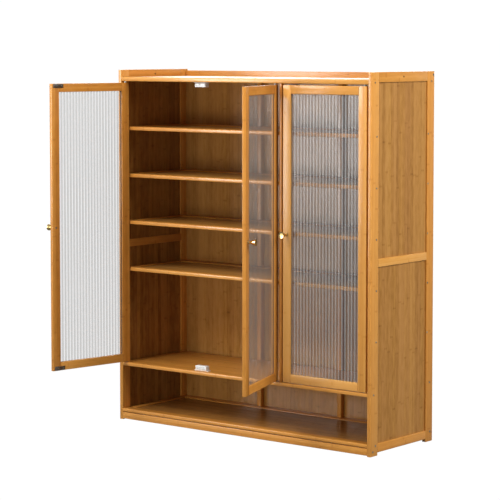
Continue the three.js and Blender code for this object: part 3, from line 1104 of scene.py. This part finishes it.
sidePlan = {  # in millimetres, the same on both sides: heights and distances from the front
    "frontScrews": [
        (1129, 17), (967, 27.5), (812, 27.5), (657, 27.5), (502, 27.5), (347, 27.5),
        (187, 16), (31, 26), (14, 13),
    ],
    "backScrews": [
        (1149, 332), (1129, 322), (967, 305), (812, 305), (657, 305), (502, 305), (347, 305),
        (187, 320), (31, 324),
    ],
    "hole": (1145, 169),
    "halfWidth": 508,
    "thick": 13,
    "front": -338,
}
backPlan = {"columns": (-165, 165), "rows": (1108, 967, 812, 657, 502, 347, 187, 60)}


def sidePlace(sign, place, inset=0):
    z, y = place
    x = sign * (sidePlan["halfWidth"] - inset)
    return Vector((x * mm, (sidePlan["front"] + y) * mm, z * mm))


carcassScrews, holeShades = [], []
for sign in (-1, 1):
    outside = Vector((sign, 0, 0))
    for place in sidePlan["frontScrews"] + sidePlan["backScrews"]:
        carcassScrews.append((sidePlace(sign, place), outside))
    # a near-black disc on each face of the side's top rail: painted shade where a small hole is
    holeShades.append((sidePlace(sign, sidePlan["hole"]), outside))
    holeShades.append((sidePlace(sign, sidePlan["hole"], sidePlan["thick"]), -outside))
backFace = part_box("back_panel")[1].y
for z in backPlan["rows"]:
    for x in backPlan["columns"]:
        carcassScrews.append((Vector((x * mm, backFace, z * mm)), Vector((0, 1, 0))))

seeds, still = screwPlan["seeds"], Matrix.Identity(4)
addScrews("carcass_screws", carcassScrews, "carcass", still, screwSteel, seeds["carcass"])
addScrews("side_plugs", holeShades, "carcass", still, paintedHoleShade, seeds["holeShades"], screwPlan["holeShadeSize"])
for door, places in doorScrews.items():
    addScrews(door + "_screws", places, door, leaves[door]["matrix"], screwSteel, seeds["doors"])
bpy.data.objects.remove(screwHead)
print("screws set")

stagePlan = {
    "floor": 0.16,
    "floorDark": 0.9,
    "floorRoughness": 0.7,
    "floorSize": 30,
    "speckles": 3,
    "world": 0.06,
    "worldShine": 0.5,
    "floorShine": 0.25,
    "white": 1.02,
}


def studioLight(nodes, lit, shine):
    # white where it is seen, a level of its own in reflections, and else what is given
    rays = nodes.add("ShaderNodeLightPath")
    white = nodes.add("ShaderNodeEmission", inputs={0: (1, 1, 1, 1), 1: stagePlan["white"]})
    mirrored = nodes.add("ShaderNodeEmission", inputs={0: (1, 1, 1, 1), 1: shine})
    glossy, seen = rays.out("Is Glossy Ray"), rays.out("Is Camera Ray")
    unseen = nodes.add("ShaderNodeMixShader", inputs={0: glossy, 1: lit, 2: mirrored})
    return nodes.add("ShaderNodeMixShader", inputs={0: seen, 1: unseen, 2: white})


def addFloor():
    material, nodes = newMaterial("paleFloor")
    place = nodes.add("ShaderNodeTexCoord", output="Object")
    speckle = nodes.noise(place, stagePlan["speckles"], 3)
    pale, dark = stagePlan["floor"], stagePlan["floor"] * stagePlan["floorDark"]
    colour = nodes.blend(speckle, (pale, pale, pale, 1), (dark, dark, dark, 1))
    inputs = {"Base Color": colour, "Roughness": stagePlan["floorRoughness"]}
    plain = nodes.add("ShaderNodeBsdfPrincipled", inputs=inputs)
    surface(nodes, studioLight(nodes, plain, stagePlan["floorShine"]))
    half = stagePlan["floorSize"] / 2
    corners = [(-half, -half, 0), (half, -half, 0), (half, half, 0), (-half, half, 0)]
    mesh = bpy.data.meshes.new("floor")
    mesh.from_pydata(corners, [], [(0, 1, 2, 3)])
    mesh.materials.append(material)
    floor = bpy.data.objects.new("floor", mesh)
    bpy.context.scene.collection.objects.link(floor)


def addWorld():
    world = bpy.data.worlds.new("studio")
    bpy.context.scene.world = world
    world.use_nodes = True
    world.node_tree.nodes.clear()
    nodes = Nodes(world.node_tree)
    dim = nodes.add("ShaderNodeBackground", inputs={0: (1, 1, 1, 1), 1: stagePlan["world"]})
    light = studioLight(nodes, dim, stagePlan["worldShine"])
    nodes.add("ShaderNodeOutputWorld", inputs={"Surface": light})


lightPlan = {  # where, what it faces, width and height, power, what it adds
    "glossCard": ((-2.66, -3.26, 1.5), (0.2, -0.3, 1.1), (1.5, 2.3), 170, "gloss"),
    "keyLeft": ((-1.1, -3.05, 3.4), (0.1, -0.3, 0.6), (2.0, 2.0), 158, "diffuse"),
    "frontLow": ((-0.4, -4.0, 0.6), (0.1, -0.3, 0.5), (1.8, 0.8), 38, "diffuse"),
    "frontRight": ((1.7, -3.8, 0.8), (0.1, -0.3, 0.5), (1.8, 1.2), 12, "diffuse"),
    "fillRight": ((3.6, -0.3, 2.6), (0.4, -0.2, 0.8), (2.0, 2.0), 158, "diffuse"),
    "fillBack": ((0.2, 4.3, 2.0), (0.0, 0.0, 0.6), (2.4, 2.0), 110, "diffuse"),
    "fillLeft": ((-3.6, 1.4, 2.0), (-0.4, 0.0, 0.6), (2.0, 2.0), 80, "diffuse"),
    "rearCard": ((-3.1, 4.0, 1.9), (0.0, -0.2, 1.13), (2.6, 1.8), 78, "gloss"),
}


def addLight(name, at, towards, size, power, adds):
    data = bpy.data.lights.new(name, "AREA")
    data.shape, data.energy = "RECTANGLE", power
    data.size, data.size_y = size
    light = bpy.data.objects.new(name, data)
    light.location = at
    light.rotation_mode = "QUATERNION"
    light.rotation_quaternion = (Vector(towards) - Vector(at)).to_track_quat("-Z", "Y")
    light.visible_diffuse, light.visible_glossy = adds != "gloss", adds != "diffuse"
    bpy.context.scene.collection.objects.link(light)


addFloor()
addWorld()
for name, plan in lightPlan.items():
    addLight(name, *plan)

cameraPlan = {
    "at": (3.942, -5.2447, 1.2395),
    "yaw": 38.46,
    "pitch": -4.12,
    "lens": 144.5,
    "sensor": 36,
    "shiftY": -0.12,
}


def addCamera(plan):
    data = bpy.data.cameras.new("camera")
    data.lens, data.sensor_width, data.shift_y = plan["lens"], plan["sensor"], plan["shiftY"]
    camera = bpy.data.objects.new("camera", data)
    camera.location = plan["at"]
    camera.rotation_euler = (math.radians(90 + plan["pitch"]), 0, math.radians(plan["yaw"]))
    bpy.context.scene.collection.objects.link(camera)
    bpy.context.scene.camera = camera


addCamera(cameraPlan)
bpy.context.scene.view_settings.view_transform = "Standard"
print("stage, light and camera set")
